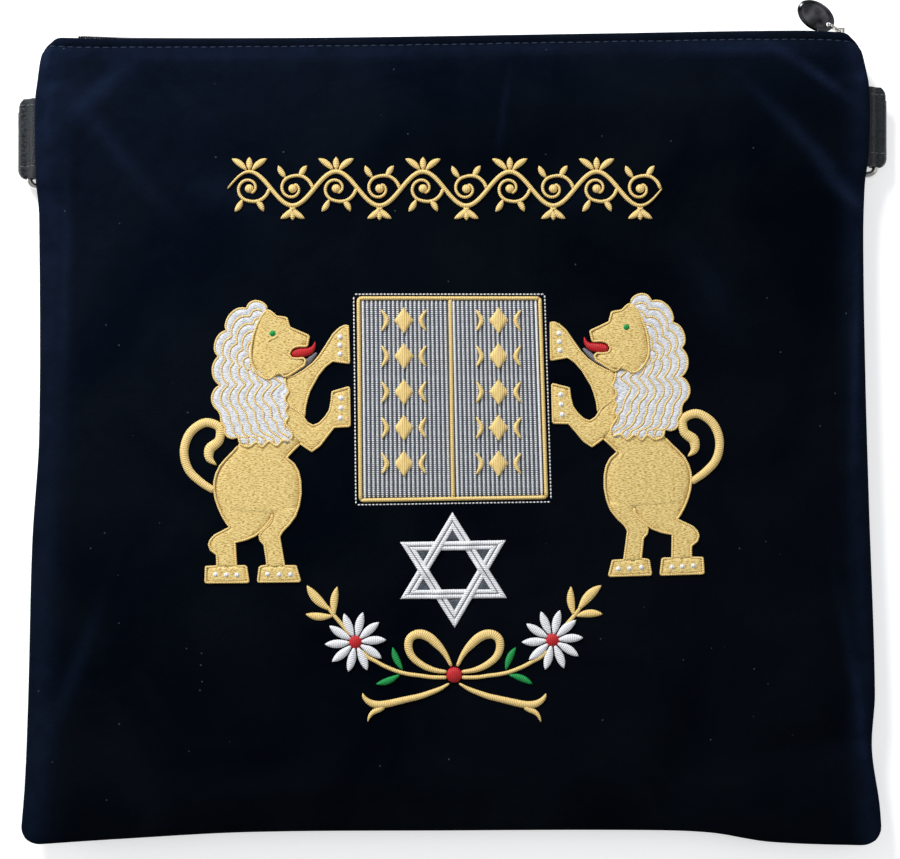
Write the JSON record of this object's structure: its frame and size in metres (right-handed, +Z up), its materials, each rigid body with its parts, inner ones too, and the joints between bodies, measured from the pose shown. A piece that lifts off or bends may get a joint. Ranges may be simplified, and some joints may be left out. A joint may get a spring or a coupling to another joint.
{
  "type": "tallit bag",
  "caption": "Flat velvet bag with a zip along its top edge, embroidered front and a leather tab with a wire D-ring at each side seam.",
  "frame": {"origin": "middle of the back panel's flat face, on the surface that the bag lies on", "axes": "+X to the wearer's right as the front is seen, +Y towards the zip, +Z up out of the embroidered front"},
  "size_m": [0.3839, 0.3718, 0.0246],
  "materials": {
    "velvet": "navy cotton velvet with a short pile",
    "zip_tape": "woven polyester tape",
    "zip_coil": "nylon coil",
    "leather": "pebbled black leather",
    "nickel": "polished nickel plate",
    "gunmetal": "dark polished plate",
    "gold_thread": "gold rayon embroidery",
    "silver_thread": "silver white rayon embroidery",
    "green_thread": "green rayon embroidery",
    "red_thread": "red rayon embroidery",
    "grey_thread": "grey rayon embroidery"
  },
  "bodies": {
    "bag": {"front_panel": "velvet", "back_panel": "velvet", "zip_tape_front": "zip_tape", "zip_tape_back": "zip_tape", "zip_coil_front": "zip_coil", "zip_coil_back": "zip_coil", "zip_end_stop": "nickel", "zip_slider": "nickel", "tab_left": "leather", "tab_right": "leather"},
    "pull": {"zip_bail": "nickel", "zip_tag": "gunmetal"},
    "left_ring": {"ring_left": "nickel"},
    "right_ring": {"ring_right": "nickel"}
  },
  "joints": [
    {"name": "pull_swing", "type": "hinge", "parent": "bag", "child": "pull", "pos_m": [0.17124, 0.17918, 0.011], "axis": [0, 0, -1], "range_deg": [0, 115]},
    {"name": "left_ring_swing", "type": "hinge", "parent": "bag", "child": "left_ring", "pos_m": [-0.18635, 0.12965, 0.00636], "axis": [0, 1, 0], "range_deg": [0, 155]},
    {"name": "right_ring_swing", "type": "hinge", "parent": "bag", "child": "right_ring", "pos_m": [0.18755, 0.13475, 0.00636], "axis": [0, -1, 0], "range_deg": [0, 155]}
  ]
}
